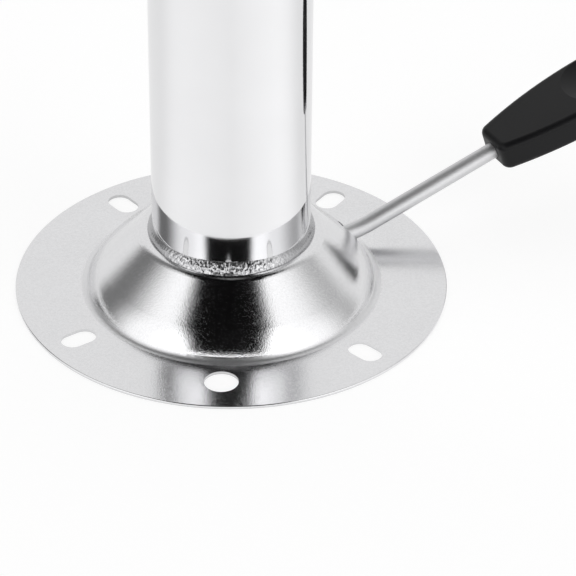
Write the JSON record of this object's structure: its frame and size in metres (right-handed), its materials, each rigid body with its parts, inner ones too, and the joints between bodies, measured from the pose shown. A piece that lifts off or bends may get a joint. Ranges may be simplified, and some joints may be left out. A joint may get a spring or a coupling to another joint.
{
  "type": "bar stool seat plate",
  "caption": "Round chromed seat plate with a domed centre, a welded column sleeve, a taper socket for the gas lift and a rocking release lever with a black paddle grip.",
  "frame": {"origin": "centre of the flat face that screws to the seat, on the axis of the column sleeve", "axes": "+Z along the column sleeve away from the seat, +Y through the two round screw holes, the lever leaves 30 degrees from +X towards +Y"},
  "size_m": [0.2399, 0.1803, 0.18],
  "materials": {
    "plated_pressing": "chrome plate over a drawn sheet, semi-gloss",
    "chrome_tube": "polished chrome plate",
    "plated_weld": "chrome plate over a rippled weld bead",
    "turned_steel": "turned",
    "zinc_sheet": "bright zinc plate",
    "spring_steel": "dark spring steel",
    "plated_rod": "chrome plate over drawn rod",
    "black_plastic": "semi-gloss moulded"
  },
  "bodies": {
    "base": {"seat_plate": "plated_pressing", "column_sleeve": "chrome_tube", "sleeve_weld": "plated_weld", "taper_socket": "turned_steel", "socket_weld": "plated_weld", "lever_bracket": "zinc_sheet", "bracket_weld": "plated_weld", "pivot_pin": "zinc_sheet", "pin_clip": "spring_steel"},
    "lever": {"lever_rod": "plated_rod", "lever_grip": "black_plastic"}
  },
  "joints": [
    {"name": "lever_rock", "type": "hinge", "parent": "base", "child": "lever", "pos_m": [0.03291, 0.019, 0.0072], "axis": [0.5, -0.866, 0], "range_deg": [0, 6]}
  ]
}
